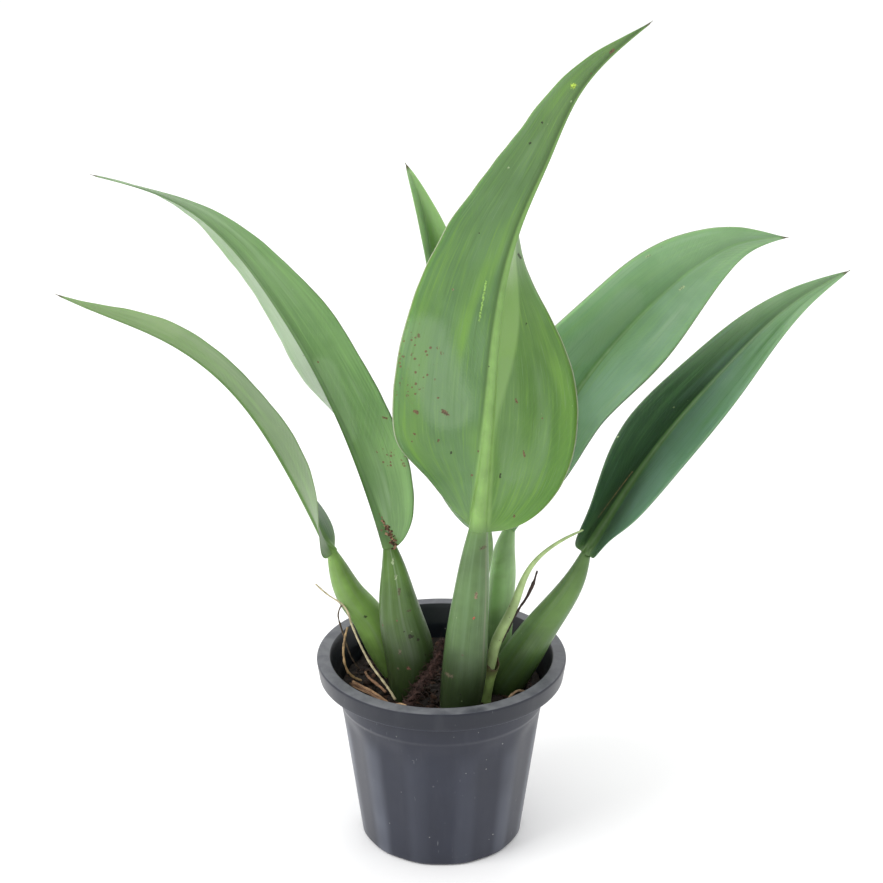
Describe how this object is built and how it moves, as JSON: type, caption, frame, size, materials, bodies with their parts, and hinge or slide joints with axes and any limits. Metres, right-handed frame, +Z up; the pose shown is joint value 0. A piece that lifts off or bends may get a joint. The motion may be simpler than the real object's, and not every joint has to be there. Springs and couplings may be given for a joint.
{
  "type": "potted philodendron",
  "caption": "Leafy houseplant with long lance-shaped leaves on swollen stalks, growing in a tapered fluted plastic nursery pot with a turned-down rim.",
  "frame": {"origin": "centre of the pot's foot, on the surface that it stands on", "axes": "+Z up along the pot's axis, -Y towards the front of the plant, +X to the right seen from the front"},
  "size_m": [0.4378, 0.1715, 0.5025],
  "materials": {
    "pot_plastic": "charcoal moulded plastic, satin, dusty and scuffed along the rim",
    "soil_crumb": "dark crumbly potting mix of peat and bark, matt",
    "leaf_green": "leathery green leaf with a soft sheen, paler midrib and fine side veins",
    "stalk_green": "smooth fleshy green stalk with brown scars",
    "young_green": "pale yellow-green young growth, satin",
    "root_brown": "dry tan to brown root, matt",
    "rhizome_brown": "shaggy dark brown rhizome and dead tissue, matt"
  },
  "bodies": {
    "root": {"pot": "pot_plastic", "potting_soil": "soil_crumb", "blade_front": "leaf_green", "blade_left": "leaf_green", "blade_far_left": "leaf_green", "blade_back": "leaf_green", "blade_right_back": "leaf_green", "blade_right": "leaf_green", "petiole_front": "stalk_green", "petiole_left": "stalk_green", "petiole_far_left": "stalk_green", "petiole_back": "stalk_green", "petiole_right_back": "stalk_green", "petiole_right": "stalk_green", "young_spear": "young_green", "spear_sheath": "young_green", "dry_stub": "rhizome_brown", "rhizome": "rhizome_brown", "root_long_pale": "root_brown", "root_dark_loop": "root_brown", "root_tan_arch": "root_brown", "root_strand_outer": "root_brown", "root_strand_inner": "root_brown", "root_rim": "root_brown", "root_arc": "root_brown", "root_right": "root_brown"}
  },
  "joints": []
}
